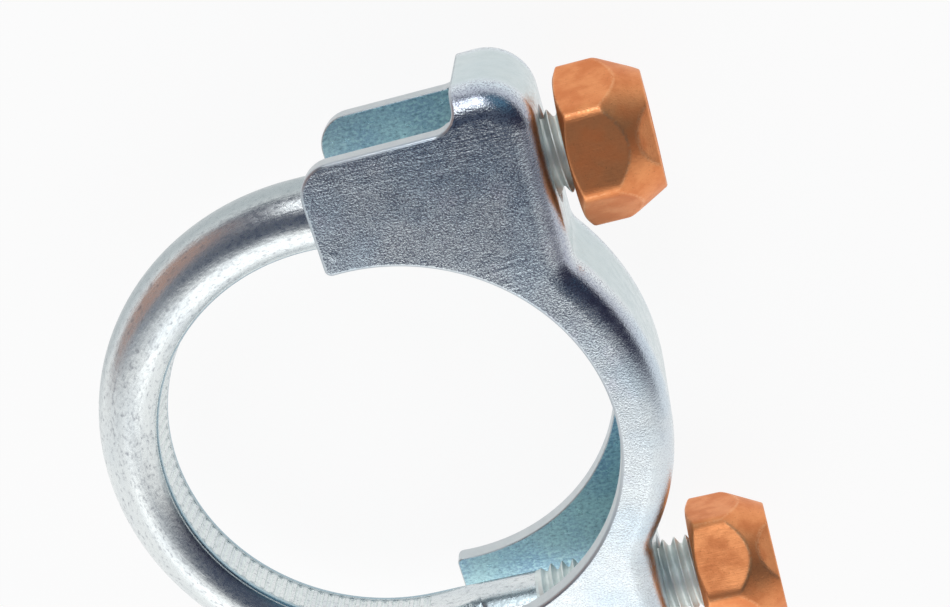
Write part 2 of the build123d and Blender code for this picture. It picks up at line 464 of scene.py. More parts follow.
@dataclass
class CrownNut:
    """A hexagon lock nut with a conical crown that three flats are pressed into."""

    side: Side
    gap: float
    turn: float
    across_flats: float = 17.0
    height: float = 10.0
    seat_x: float = 25.5
    leg_y: float = 30.0
    bore: float = 5.55
    edge_round: float = 1.0
    face_round: float = 0.17
    edge_wear: float = 0.22
    seat_radius: float = 8.2
    seat_rise: float = 0.9
    crown_start: float = 4.5
    crown_end: float = 6.9
    sides: int = 6
    crimps: int = 3
    crimp_reach: float = 1.9
    crimp_end: float = 5.9
    columns: int = 180
    rows: int = 170
    bore_steps: int = 80
    farthest: float = 12.0
    halvings: int = 34
    running_gap: float = 0.05
    sharp_degrees: float = 50.0
    thread: Thread = field(default_factory=Thread)

    @property
    def body(self) -> str:
        """Name of the body and CAD node that this nut stands for."""
        return "upper_nut" if self.side is Side.UPPER else "lower_nut"

    def faced(self, radius: Array, angle: Array, count: int) -> list[Array]:
        """How far places reach towards each of several faces spread evenly round the axis."""
        turns = [math.radians(self.turn + 360.0 / count * number) for number in range(count)]
        return [radius * np.cos(angle - turn) for turn in turns]

    def distances(self, x: Array, radius: Array, angle: Array) -> list[Array]:
        """How far places lie outside each of the nut's outer faces.

        Args:
            x: Places along the nut from its seat face.
            radius: Distances from the nut's axis.
            angle: Angles about the axis, from +Z towards +Y.

        Returns:
            Distances from the six sides, the crown, its three flats, the seat's cone and the ends.
        """
        corner = self.across_flats / math.sqrt(3.0)
        hexagon = [level - self.across_flats / 2 for level in self.faced(radius, angle, self.sides)]
        rise = math.hypot(self.seat_rise, corner - self.seat_radius)
        seat = ((radius - self.seat_radius) * self.seat_rise - x * (corner - self.seat_radius)) / rise
        slope = (corner - self.crown_end) / (self.height - self.crown_start)
        crown = ((x - self.crown_start) * slope + radius - corner) / math.hypot(1.0, slope)
        fall = (self.crown_end + slope * self.crimp_reach - self.crimp_end) / self.crimp_reach
        pressed = [
            ((x - self.height) * fall + level - self.crimp_end) / math.hypot(1.0, fall)
            for level in self.faced(radius, angle, self.crimps)
        ]
        return [*hexagon, crown, *pressed, seat, x - self.height, -x]

    def outside(self, x: Array, radius: Array, angle: Array) -> Array:
        """How far places lie outside the nut, whose edges are rounded.

        Args:
            x: Places along the nut from its seat face.
            radius: Distances from the nut's axis.
            angle: Angles about the axis, from +Z towards +Y.

        Returns:
            Distances, below nought inside the nut.
        """
        parts = self.distances(x, radius, angle)
        shape = parts[0]
        for number, part in enumerate(parts[1:], 1):
            shape = smooth_max(shape, part, self.edge_round if number < self.sides else self.face_round)
        return shape

    def edges(self, x: Array, radius: Array, angle: Array) -> Array:
        """How near places on the surface are to an edge, from 0 away from one to 1 on it."""
        parts = np.sort(np.stack(np.broadcast_arrays(*self.distances(x, radius, angle))), axis=0)
        return np.clip(1.0 - (parts[-1] - parts[-2]) / self.edge_wear, 0.0, 1.0)

    def shell(self, angle: Array) -> tuple[Array, Array]:
        """Places of the outer faces, from the seat's hole round to the crown's hole.

        Args:
            angle: Angles about the axis, as a row.

        Returns:
            Places along the axis and distances from it, a row for each look direction.
        """
        look = np.linspace(math.pi, 0.0, self.rows)[:, None]
        centre = self.height / 2
        near = np.zeros((self.rows, len(angle)))
        far = np.full_like(near, self.farthest)
        for _ in range(self.halvings):
            middle = (near + far) / 2
            x, radius = centre + middle * np.cos(look), self.bore + middle * np.sin(look)
            inside = self.outside(x, radius, angle) < 0
            near = np.where(inside, middle, near)
            far = np.where(inside, far, middle)
        return centre + near * np.cos(look), self.bore + near * np.sin(look)

    def build(self) -> bpy.types.Object:
        """Make the nut as one closed ring that stands for its CAD node."""
        angle = np.linspace(0.0, FULL_TURN, self.columns, endpoint=False)[None, :]
        x, radius = self.shell(angle[0])
        start = self.seat_x + self.gap
        inner_x = np.linspace(self.height, 0.0, self.bore_steps + 1)[1:-1, None] + 0.0 * angle
        bore = self.thread.radius(start + inner_x, math.pi / 2 - angle) + self.running_gap
        mouth = self.bore - np.minimum(inner_x, self.height - inner_x)
        x = np.concatenate([x, inner_x])
        radius = np.concatenate([radius, np.maximum(bore, mouth)])
        y = self.side.value * self.leg_y + radius * np.sin(angle)
        points = np.stack([start + x, y, radius * np.cos(angle)], axis=-1)
        own = angle - math.radians(self.turn)
        laid = np.stack([x, radius * np.sin(own), radius * np.cos(own)], axis=-1)
        # Nearness to an edge, where the copper is worn and also painted brighter as a highlight
        worn = self.edges(x, radius, angle) * (np.arange(len(x)) < self.rows)[:, None]
        draft = MeshDraft()
        numbers = draft.add(points, zone=worn, laid=laid)
        draft.grid(np.concatenate([numbers, numbers[:1]]), wrap=True)
        piece = draft.make_piece(self.body + "_body")
        weld(piece, self.sharp_degrees)
        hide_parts(self.body)
        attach(piece, self.body)
        return piece


@dataclass(frozen=True)
class TrimmedEdge:
    """A sharp trimmed edge of the sheet's outer face, with the ways out of and into the metal."""

    points: Array
    normals: Array
    inward: Array

    def cut_back(self, reach: float, depth: float) -> Array:
        """The edge moved into the metal by reach, and below the outer face by depth."""
        return self.points + reach * self.inward - depth * self.normals

    def reverse(self) -> "TrimmedEdge":
        """The same edge from its other end."""
        return TrimmedEdge(self.points[::-1], self.normals[::-1], self.inward[::-1])


@dataclass
class Saddle:
    """The channel drawn from one sheet: web, flanges, ears, lugs and stud holes."""

    pipe_radius: float = 25.5
    sheet: float = 2.5
    half_width: float = 10.5
    bend: float = 3.5
    band_radius: float = 32.0
    seat_x: float = 25.5
    hollow_radius: float = 3.0
    end_wall_y: float = 42.4
    corner_radius: float = 6.0
    lug_back_x: float = 17.0
    lug_fillet: float = 2.5
    wall_run: float = 1.2
    ear_top_y: float = 38.5
    ear_reach: float = 2.0
    ear_corner: float = 4.0
    tip_radius: float = 0.8
    hole_y: float = 30.0
    hole_radius: float = 5.5
    hole_block: float = 6.4
    rolled_edge: float = 0.42
    back_edge: float = 0.2
    rolled_share: float = 0.45
    bend_steps: int = 10
    web_steps: int = 12
    corner_steps: int = 14
    hollow_steps: int = 9
    band_steps: int = 36
    lug_steps: int = 8
    ear_steps: int = 12
    tip_steps: int = 6
    pipe_steps: int = 60

    def web_line(self) -> Array:
        """The web's outer line from the upper lug round to the lower one.

        Returns:
            Rows of x, y and the outward direction's x, y.
        """
        corner = (self.seat_x - self.corner_radius, self.end_wall_y - self.corner_radius)
        hollow_x = self.seat_x + self.hollow_radius
        hollow_y = math.sqrt((self.band_radius + self.hollow_radius) ** 2 - hollow_x**2)
        turn = math.degrees(math.atan2(hollow_y, hollow_x))
        wall = np.array([[corner[0] - self.wall_run, self.end_wall_y, 0.0, 1.0]])
        bend = arc_points(corner, self.corner_radius, 90.0, -90.0, self.corner_steps)
        seat = np.tile([self.seat_x, 0.0, 1.0, 0.0], (self.web_steps, 1))
        seat[:, 1] = np.linspace(corner[1], hollow_y, self.web_steps + 1)[1:]
        hollow = arc_points((hollow_x, hollow_y), self.hollow_radius, 180.0, turn, self.hollow_steps)[1:]
        hollow[:, 2:] *= -1.0
        band = arc_points((0.0, 0.0), self.band_radius, turn, -turn, self.band_steps)[1:]
        return with_mirror(np.concatenate([wall, bend, seat, hollow, band]))

    def flange_line(self) -> Array:
        """The flange's trimmed line from the upper lug round to the lower one.

        Returns:
            Rows of x, y and the direction into the metal.
        """
        lug = (self.lug_back_x - self.lug_fillet, self.ear_top_y + self.lug_fillet)
        start_x = self.lug_edge_x(self.end_wall_y - self.bend)
        first = math.degrees(math.acos((start_x - lug[0]) / self.lug_fillet))
        fillet = arc_points(lug, self.lug_fillet, -first, first - 90.0, self.lug_steps)[1:]
        corner_at = (self.ear_corner - self.ear_reach, self.ear_top_y - self.ear_corner)
        corner = arc_points(corner_at, self.ear_corner, 90.0, 90.0, self.ear_steps)
        tip_x = self.tip_radius - self.ear_reach
        tip_y = math.sqrt((self.pipe_radius + self.tip_radius) ** 2 - tip_x**2)
        tip_end = math.degrees(math.atan2(-tip_y, -tip_x)) % 360.0
        tip = arc_points((tip_x, tip_y), self.tip_radius, 180.0, tip_end - 180.0, self.tip_steps)
        start = math.degrees(math.atan2(tip_y, tip_x))
        pipe = arc_points((0.0, 0.0), self.pipe_radius, start, -start, self.pipe_steps)[1:]
        corner[:, 2:] *= -1.0
        tip[:, 2:] *= -1.0
        return with_mirror(np.concatenate([fillet, corner, tip, pipe]))

    def flange_edge(self, up: Array) -> TrimmedEdge:
        """The trimmed edge of one flange.

        Args:
            up: The way that the flange faces, UP or its opposite.

        Returns:
            The edge, from the upper lug round to the lower one.
        """
        line = self.flange_line()
        points = lift(line[:, :2], self.half_width * up[2])
        return TrimmedEdge(points, np.tile(up, (len(line), 1)), lift(line[:, 2:]))

    def lug_edge_x(self, y: float) -> float:
        """Where the lug's trimmed back edge lies at a distance y from the middle."""
        drop = self.ear_top_y + self.lug_fillet - y
        if drop <= 0.0:
            return self.lug_back_x
        return self.lug_back_x - self.lug_fillet + math.sqrt(self.lug_fillet**2 - drop**2)

    def around(self) -> tuple[Array, Array, Array]:
        """The channel's section from one flange over the web to the other.

        Returns:
            Depths below the web's face, heights along Z, and the bend's angles.
        """
        quarter = np.radians(np.linspace(0.0, 90.0, self.bend_steps + 1))
        flat = self.half_width - self.bend
        drop = self.bend * (1.0 - np.sin(quarter))
        reach = flat + self.bend * np.cos(quarter)
        web = np.linspace(flat, -flat, self.web_steps + 1)[1:-1]
        depth = np.concatenate([drop, np.zeros_like(web), drop[::-1]])
        high = np.concatenate([reach, web, -reach[::-1]])
        angle = np.concatenate([quarter, np.full_like(web, math.pi / 2), math.pi - quarter[::-1]])
        return depth, high, angle

    def lug_edge(self, side: Side) -> TrimmedEdge:
        """A lug's trimmed back edge, point by point across the channel.

        Args:
            side: Which lug it is.

        Returns:
            The edge, which follows the sheet round both bends.
        """
        depth, high, angle = self.around()
        y = self.end_wall_y - depth
        x = np.array([self.lug_edge_x(value) for value in y])
        normal = np.stack([np.zeros_like(angle), np.sin(angle), np.cos(angle)], 1)
        drop = np.clip(self.ear_top_y + self.lug_fillet - y, 0.0, None)
        slope = drop / np.sqrt(self.lug_fillet**2 - drop**2)
        along = np.stack([slope * np.cos(angle), np.cos(angle), -np.sin(angle)], 1)
        inward = np.cross(normal, along)
        inward *= np.sign(inward[:, :1])
        inward /= np.linalg.norm(inward, axis=1, keepdims=True)
        flip = np.array([1.0, side.value, 1.0])
        return TrimmedEdge(np.stack([x, y, high], 1) * flip, normal * flip, inward * flip)

    def hole_edge(self, side: Side) -> TrimmedEdge:
        """A stud hole's edge, whose points follow the web's own points round it.

        Args:
            side: Which hole it is.

        Returns:
            The edge, four times web_steps points long.
        """
        count = 4 * self.web_steps
        corner = math.atan2(self.half_width - self.bend, self.hole_block)
        marks = np.array([-corner, corner, math.pi - corner, math.pi + corner, FULL_TURN - corner])
        angles = np.interp(np.arange(count) / self.web_steps, np.arange(5), marks)
        way = np.stack([np.zeros(count), side.value * np.cos(angles), np.sin(angles)], 1)
        centre = np.array([self.seat_x, side.value * self.hole_y, 0.0])
        return TrimmedEdge(centre + self.hole_radius * way, np.tile([1.0, 0.0, 0.0], (count, 1)), way)

    def rim(self, draft: MeshDraft, edge: TrimmedEdge, face: Array, back: Array, flip: bool) -> None:
        """Close a trimmed edge with its rolled outer round, its sheared face and its back round.

        Args:
            draft: The mesh that it is added to.
            edge: The sharp edge, a closed loop.
            face: Numbers of the outer face's points along the loop.
            back: Numbers of the inner face's points along the loop.
            flip: Whether the faces look the other way.
        """
        rows, normals, zones = [], [], []
        rolled = (edge.normals, self.rolled_edge, 0.0, (22.5, 45.0, 67.5, 90.0))
        plain = (-edge.normals, self.back_edge, self.sheet, (90.0, 60.0, 30.0))
        for away, radius, depth, turns in (rolled, plain):
            for angle in map(math.radians, turns):
                way = away * math.cos(angle) - edge.inward * math.sin(angle)
                rows.append(edge.cut_back(radius, depth) + radius * (way - away))
                normals.append(way)
                on_round = depth == 0.0 and angle < math.pi / 2
                zones.append(self.rolled_share if on_round else Zone.EDGE.value)
        numbers = draft.add(np.stack(rows), np.stack(normals), np.repeat(zones, len(face)))
        draft.grid(np.concatenate([face[None, :], numbers, back[None, :]]), flip=flip, wrap=True)

    def web_faces(self, draft: MeshDraft, grid: Array, rings: list[Array], inner: bool) -> None:
        """Join the web's and the bends' points with faces, and leave the stud holes open.

        Args:
            draft: The mesh that they are added to.
            grid: The numbers of the points, a row for each place along the web's line.
            rings: The numbers of the upper and the lower hole's points.
            inner: Whether this is the sheet's inner face.
        """
        steps, bends = self.web_steps, self.bend_steps
        first = self.corner_steps + 2
        last = len(grid) - 1 - first
        middle = slice(bends, bends + steps + 1)
        draft.grid(grid[:, : bends + 1], flip=inner)
        draft.grid(grid[:, bends + steps :], flip=inner)
        for rows in (slice(first + 1), slice(first + steps, last - steps + 1), slice(last, None)):
            draft.grid(grid[rows, middle], flip=inner)
        seats = (grid[first : first + steps + 1, middle], grid[last - steps : last + 1, middle][::-1])
        for seat, ring, side in zip(seats, rings, Side):
            loop = np.concatenate([seat[0, ::-1][:-1], seat[:-1, 0], seat[-1, :-1], seat[::-1, -1][:-1]])
            draft.grid(np.stack([loop, ring]), flip=(side is Side.UPPER) != inner, wrap=True)

    def build(self) -> bpy.types.Object:
        """Make the saddle as one closed piece that stands for its CAD node."""
        draft = MeshDraft()
        line = self.web_line()
        depth, high, angle = (values[None, :, None] for values in self.around())
        outward = lift(line[:, 2:])[:, None, :]
        body = lift(line[:, :2])[:, None, :] - depth * outward + high * UP
        body_normals = np.sin(angle) * outward + np.cos(angle) * UP
        lugs = [self.lug_edge(side) for side in Side]
        holes = [self.hole_edge(side) for side in Side]
        flanges = [self.flange_edge(up) for up in (UP, -UP)]
        normals = np.concatenate([lugs[0].normals[None], body_normals, lugs[1].normals[None]])
        loops, ring_pairs = [], []
        outer_face = (Zone.OUTSIDE, 0.0, 1.0, self.rolled_edge)
        inner_face = (Zone.INSIDE, self.sheet, -1.0, self.back_edge)
        for zone, below, turned, cut in (outer_face, inner_face):
            ends = [lug.cut_back(cut, below)[None] for lug in lugs]
            points = np.concatenate([ends[0], body - below * body_normals, ends[1]])
            grid = draft.add(points, turned * normals, zone)
            faces = [draft.add(edge.cut_back(cut, below), turned * edge.normals, zone) for edge in flanges]
            rings = [draft.add(edge.cut_back(cut, below), turned * edge.normals, zone) for edge in holes]
            self.web_faces(draft, grid, rings, inner=zone is Zone.INSIDE)
            for column, face in zip((0, -1), faces):
                draft.faces.append((*grid[:, column].tolist(), *face[::-1].tolist()))
            loops.append(np.concatenate([faces[0], grid[-1], faces[1][::-1], grid[0][::-1]]))
            ring_pairs.append(rings)
        parts = [flanges[0], lugs[1], flanges[1].reverse(), lugs[0].reverse()]
        outline = TrimmedEdge(
            np.concatenate([part.points for part in parts]),
            np.concatenate([part.normals for part in parts]),
            np.concatenate([part.inward for part in parts]),
        )
        self.rim(draft, outline, *loops, flip=True)
        for side, edge, ring, back_ring in zip(Side, holes, *ring_pairs):
            self.rim(draft, edge, ring, back_ring, flip=side is Side.UPPER)
        piece = draft.make_piece("saddle_channel")
        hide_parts("saddle")
        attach(piece, "saddle")
        return piece


@dataclass(frozen=True)
class Grain:
    """A noise: its grains' size along three axes in millimetres, its layers and its turn about Z.

    The height is its part in the relief.
    """

    size: Triple
    detail: float = 2.0
    rough: float = 0.5
    turn: float = 0.0
    height: float = 0.0


@dataclass(frozen=True)
class Coat:
    """A colour laid over another one up to a share.

    The span says where a value brings it in and where it's whole; without one, a mask does.
    """

    colour: Colour
    share: float = 1.0
    span: Pair | None = None


class NodeGraph:
    """The nodes of a material or of the world, added one by one."""

    def __init__(self, tree: bpy.types.NodeTree) -> None:
        """Start with an empty tree."""
        self.tree = tree
        tree.nodes.clear()

    def add(self, kind: str, **settings: object) -> bpy.types.Node:
        """Add a node of a type and set some of its properties."""
        node = self.tree.nodes.new(kind)
        for name, value in settings.items():
            setattr(node, name, value)
        return node

    def join(self, source: Socket, target: Socket) -> None:
        """Link one socket to another."""
        self.tree.links.new(source, target)

    def feed(self, socket: Socket, value: object) -> None:
        """Link a socket to another one, or set its value."""
        if isinstance(value, bpy.types.NodeSocket):
            self.join(value, socket)
        else:
            socket.default_value = value

    def math(self, operation: str, *values: object) -> Socket:
        """Add a Math node and return its result."""
        node = self.add("ShaderNodeMath", operation=operation)
        for socket, value in zip(node.inputs, values):
            self.feed(socket, value)
        return node.outputs[0]

    def fold(self, operation: str, values: tuple[object, ...]) -> Socket:
        """Join several values by one operation, from the first to the last."""
        result = values[0]
        for value in values[1:]:
            result = self.math(operation, result, value)
        return result

    def total(self, *values: object) -> Socket:
        """Add several values up."""
        return self.fold("ADD", values)

    def times(self, *values: object) -> Socket:
        """Multiply several values."""
        return self.fold("MULTIPLY", values)

    def heap(self, *layers: tuple[object, ...]) -> Socket:
        """Add up layers of relief, each the product of its values."""
        return self.total(*(self.times(*layer) for layer in layers))

    def apart(self, value: Socket, level: float) -> Socket:
        """How far a value lies from a level."""
        return self.math("ABSOLUTE", self.math("SUBTRACT", value, level))

    def ramp(self, value: object, low: float, high: float, bottom: float = 0.0, top: float = 1.0) -> Socket:
        """Map a value from one range to another, with soft ends.

        Args:
            value: The value that is mapped.
            low: Where the result is bottom.
            high: Where the result is top.
            bottom: The first end of the result's range.
            top: The other end of the result's range.

        Returns:
            The mapped value.
        """
        node = self.add("ShaderNodeMapRange", interpolation_type="SMOOTHSTEP")
        numbers = {"Value": value, "From Min": low, "From Max": high, "To Min": bottom, "To Max": top}
        for name, number in numbers.items():
            self.feed(node.inputs[name], number)
        return node.outputs["Result"]

    def across(self, value: Socket, span: Pair, bottom: float = 0.0) -> Socket:
        """Bring in a share where a place passes a span.

        Args:
            value: The place, in metres.
            span: Where the share is bottom and where it is 1, in millimetres.
            bottom: The lowest share.

        Returns:
            The share.
        """
        return self.ramp(value, span[0] * MM, span[1] * MM, bottom)

    def own_place(self) -> Socket:
        """The piece's own coordinates."""
        return self.add("ShaderNodeTexCoord").outputs["Object"]

    def stored(self, name: str, kind: Stored) -> Socket:
        """A value that is stored on the piece's points."""
        return self.add("ShaderNodeAttribute", attribute_name=name).outputs[kind.value]

    def axes(self, place: Socket) -> list[Socket]:
        """A place's x, y and z."""
        node = self.add("ShaderNodeSeparateXYZ")
        self.join(place, node.inputs[0])
        return list(node.outputs)

    def grain(self, place: Socket, grain: Grain) -> Socket:
        """Add a noise.

        Args:
            place: The coordinates that it follows, in metres.
            grain: Its grains.

        Returns:
            The noise, mostly within NOISE_SPAN.
        """
        laid = self.add("ShaderNodeMapping", vector_type="TEXTURE")
        self.join(place, laid.inputs["Vector"])
        laid.inputs["Scale"].default_value = tuple(value * MM for value in grain.size)
        laid.inputs["Rotation"].default_value = (0.0, 0.0, math.radians(grain.turn))
        node = self.add("ShaderNodeTexNoise")
        self.join(laid.outputs["Vector"], node.inputs["Vector"])
        node.inputs["Scale"].default_value = 1.0
        node.inputs["Detail"].default_value = grain.detail
        node.inputs["Roughness"].default_value = grain.rough
        return node.outputs["Fac"]

    def spot(self, place: Socket, centre: Triple, inner: float, outer: float) -> Socket:
        """A soft round spot.

        Args:
            place: The coordinates that it lies in, in metres.
            centre: Its centre, in millimetres.
            inner: The radius up to which it is whole, in millimetres.
            outer: The radius at which it ends, in millimetres.

        Returns:
            1 inside the spot and 0 outside it.
        """
        node = self.add("ShaderNodeVectorMath", operation="DISTANCE")
        self.join(place, node.inputs[0])
        node.inputs[1].default_value = tuple(value * MM for value in centre)
        return self.across(node.outputs["Value"], (outer, inner))

    def toward(self, way: Socket, centre: Triple) -> Socket:
        """The cosine of the angle between a direction and a fixed one."""
        node = self.add("ShaderNodeVectorMath", operation="DOT_PRODUCT")
        self.join(way, node.inputs[0])
        node.inputs[1].default_value = Vector(centre).normalized()
        return node.outputs["Value"]

    def layer(self, below: object, above: object, share: object) -> Socket:
        """Put one colour over another and return the result."""
        node = self.add("ShaderNodeMix", data_type="RGBA")
        self.feed(node.inputs[0], share)
        self.feed(node.inputs[6], rgba(below))
        self.feed(node.inputs[7], rgba(above))
        return node.outputs[2]

    def coat(self, below: object, coat: Coat, value: Socket, *masks: Socket) -> Socket:
        """Lay a coat over a colour.

        Args:
            below: The colour under it.
            coat: The coat's colour, share and span.
            value: What brings it in.
            *masks: Where it may lie.

        Returns:
            The resulting colour.
        """
        covered = self.ramp(value, *coat.span) if coat.span else value
        return self.layer(below, coat.colour, self.times(covered, *masks, coat.share))

    def relief(self, height: Socket, depth: float) -> Socket:
        """The surface's normal with a relief of a height from 0 to 1 and a depth in millimetres."""
        node = self.add("ShaderNodeBump")
        node.inputs["Strength"].default_value = 1.0
        node.inputs["Distance"].default_value = depth * MM
        self.join(height, node.inputs["Height"])
        return node.outputs["Normal"]

    def plain(self, kind: str, colour: Colour) -> bpy.types.Node:
        """Add a shader of one colour."""
        node = self.add(kind)
        node.inputs["Color"].default_value = rgba(colour)
        return node

    def blend(self, first: bpy.types.Node, second: bpy.types.Node, share: Socket) -> Socket:
        """Mix two shaders, the second one by its share."""
        mix = self.add("ShaderNodeMixShader")
        self.join(share, mix.inputs[0])
        self.join(first.outputs[0], mix.inputs[1])
        self.join(second.outputs[0], mix.inputs[2])
        return mix.outputs[0]

    def close(self, surface: Socket, kind: str = "ShaderNodeOutputMaterial") -> None:
        """Add the output and give it its surface."""
        self.join(surface, self.add(kind).inputs["Surface"])


def rgba(colour: object) -> object:
    """A colour with its alpha, or the socket that was given."""
    return (*colour, 1.0) if isinstance(colour, tuple) else colour


def new_material(name: str) -> tuple[bpy.types.Material, NodeGraph]:
    """Make a material with no nodes yet."""
    material = bpy.data.materials.new(name)
    material.use_nodes = True
    return material, NodeGraph(material.node_tree)


@dataclass(frozen=True)
class Finish:
    """What the metal finishes have in common."""

    name: str
    roughness: float
    roughness_spread: Pair = (-0.05, 0.07)
    relief_depth: float = 0.03

    def uneven(self, nodes: NodeGraph, noise: Socket) -> Socket:
        """The finish's roughness, which follows a noise."""
        smoother, rougher = self.roughness_spread
        return nodes.ramp(noise, *NOISE_SPAN, self.roughness + smoother, self.roughness + rougher)

    def looks(self, nodes: NodeGraph) -> tuple[Socket, Socket, Socket]:
        """The finish's colour, roughness and relief, which each finish adds to the nodes."""
        raise NotImplementedError

    def make(self) -> bpy.types.Material:
        """Make the material, a metal with the finish's looks."""
        material, nodes = new_material(self.name)
        shader = nodes.add("ShaderNodeBsdfPrincipled")
        shader.inputs["Metallic"].default_value = 1.0
        colour, roughness, height = self.looks(nodes)
        nodes.join(colour, shader.inputs["Base Color"])
        nodes.join(roughness, shader.inputs["Roughness"])
        nodes.join(nodes.relief(height, self.relief_depth), shader.inputs["Normal"])
        nodes.close(shader.outputs["BSDF"])
        return material


@dataclass(frozen=True)
class SheetZinc(Finish):
    """Zinc plating with a blue passivation, on a pickled and deep-drawn sheet, with painted shade on its
    bends, web and rolled edges.
    """

    pale: Colour = (0.80, 0.86, 0.88)
    blue: Coat = Coat((0.68, 0.79, 0.86), span=(0.38, 0.68))
    violet: Coat = Coat((0.74, 0.76, 0.84), 0.55, (0.54, 0.75))
    speck: Coat = Coat((0.18, 0.19, 0.27), 0.72, (0.48, 0.6))
    # Painted shade: the bends are painted navy, more strongly towards +Y
    bent_navy: Coat = Coat((0.34, 0.36, 0.45), 0.6)
    # Painted shade: the web is painted greyer than the flanges
    web_grey: Coat = Coat((0.50, 0.60, 0.61), 0.8, (1.0, 0.0))
    inner_teal: Colour = (0.52, 0.79, 0.83)
    inner_blue: Coat = Coat((0.34, 0.56, 0.74), span=(0.3, 0.75))
    inner_bright: Coat = Coat((0.66, 0.93, 0.97), 0.9, (0.48, 0.6))
    deep_teal: Coat = Coat((0.20, 0.38, 0.46), 0.7, (0.45, 0.36))
    inner_share: float = 0.9
    # Painted shade on the rolled round of the trimmed edges
    rolled_grey: Coat = Coat((0.34, 0.37, 0.41), 0.55)
    sheared: Coat = Coat((0.58, 0.62, 0.63), 0.8)
    clouds: Grain = Grain((9.0, 9.0, 9.0), 3.0)
    tint: Grain = Grain((4.0, 5.0, 4.0), 3.0, 0.6)
    patches: Grain = Grain((1.4, 1.1, 1.4), 3.0, 0.6)
    fine: Grain = Grain((0.19, 0.17, 0.17), 2.0, 0.7, turn=-8.0, height=0.55)
    peel: Grain = Grain((0.275, 0.25, 0.25), 3.0, 0.65, turn=-8.0, height=1.2)
    sparkle: Grain = Grain((0.6, 0.4, 0.5), 3.0, 0.75, height=1.2)
    waves: Grain = Grain((4.5, 4.5, 4.5), 1.0, height=2.0)
    burr: Grain = Grain((0.5, 0.5, 0.5), 3.0, 0.7, height=0.8)
    scored: Grain = Grain((7.0, 0.34, 0.6), 1.0, height=0.9)
    dragged: Grain = Grain((5.0, 0.55, 0.8), 1.0, turn=4.0, height=1.26)
    rim_span: Pair = (0.6, 0.15)
    rolled_level: float = 0.6
    rolled_span: Pair = (0.55, 0.2)
    inside_span: Pair = (1.3, 2.0)
    flange_span: Pair = (4.5, 7.8)
    ear_span: Pair = (-2.0, 16.0)
    arc_share: float = 0.3
    bend_foot: Pair = (7.4, 9.0)
    bend_end: Pair = (10.45, 9.8)
    web_specks: float = 0.06
    web_relief: float = 0.15
    rolled_relief: float = 0.15
    inner_relief: float = 0.8
    cut_rougher: float = 0.12
    score_start: Pair = (33.5, 36.0)
    score_end: Pair = (39.2, 37.5)
    drag_place: Triple = (17.5, 20.5, 10.5)
    drag_radii: Pair = (1.0, 5.0)
    bead_place: Triple = (-0.4, 27.8, 10.5)
    bead_radii: Pair = (0.15, 0.75)
    bead_height: float = 0.9

    def looks(self, nodes: NodeGraph) -> tuple[Socket, Socket, Socket]:
        """The sheet's colour, roughness and relief."""
        place = nodes.own_place()
        _, y, z = nodes.axes(place)
        height = nodes.math("ABSOLUTE", z)
        zone = nodes.stored("zone", Stored.NUMBER)
        rim = nodes.ramp(nodes.apart(zone, Zone.EDGE.value), *self.rim_span)
        rolled = nodes.ramp(nodes.apart(zone, self.rolled_level), *self.rolled_span)
        inside = nodes.ramp(zone, *self.inside_span)
        beyond_web = nodes.across(height, self.flange_span)
        on_flange = nodes.times(beyond_web, nodes.ramp(rolled, 0.0, 1.0, 1.0, self.rolled_relief))
        on_ear = nodes.across(y, self.ear_span, self.arc_share)
        bent = nodes.times(nodes.across(height, self.bend_end), nodes.across(height, self.bend_foot))
        clouds = nodes.grain(place, self.clouds)
        fine = nodes.grain(place, self.fine)
        sparkle = nodes.grain(place, self.sparkle)
        colour = nodes.coat(self.pale, self.blue, clouds)
        colour = nodes.coat(colour, self.violet, nodes.grain(place, self.tint))
        specked = nodes.ramp(on_flange, 0.0, 1.0, self.web_specks)
        colour = nodes.coat(colour, self.speck, fine, specked, on_ear)
        # Painted shade on the bends, stronger towards +Y
        colour = nodes.coat(colour, self.bent_navy, bent, on_ear)
        # Painted shade on the web
        colour = nodes.coat(colour, self.web_grey, beyond_web)
        drawn = nodes.coat(self.inner_teal, self.inner_blue, clouds)
        drawn = nodes.coat(drawn, self.inner_bright, sparkle)
        drawn = nodes.coat(drawn, self.deep_teal, sparkle)
        colour = nodes.layer(colour, drawn, nodes.times(inside, self.inner_share))
        # Painted shade on the rolled rounds
        colour = nodes.coat(colour, self.rolled_grey, rolled)
        colour = nodes.coat(colour, self.sheared, rim)
        rougher = nodes.times(nodes.total(rim, inside, rolled), self.cut_rougher)
        roughness = nodes.total(self.uneven(nodes, nodes.grain(place, self.patches)), rougher)
        side = nodes.math("ABSOLUTE", y)
        near_edge = nodes.times(nodes.across(side, self.score_start), nodes.across(side, self.score_end))
        beside_arc = nodes.spot(place, self.drag_place, *self.drag_radii)
        strength = nodes.ramp(on_flange, 0.0, 1.0, self.web_relief)
        strength = nodes.total(strength, nodes.times(inside, self.inner_relief))
        relief = nodes.heap(
            (nodes.grain(place, self.peel), strength, self.peel.height),
            (fine, strength, self.fine.height),
            (sparkle, inside, self.sparkle.height),
            (nodes.grain(place, self.waves), self.waves.height),
            (nodes.spot(place, self.bead_place, *self.bead_radii), self.bead_height),
            (nodes.grain(place, self.burr), rim, self.burr.height),
            (nodes.grain(place, self.scored), near_edge, self.scored.height),
            (nodes.grain(place, self.dragged), beside_arc, self.dragged.height),
        )
        return colour, roughness, relief


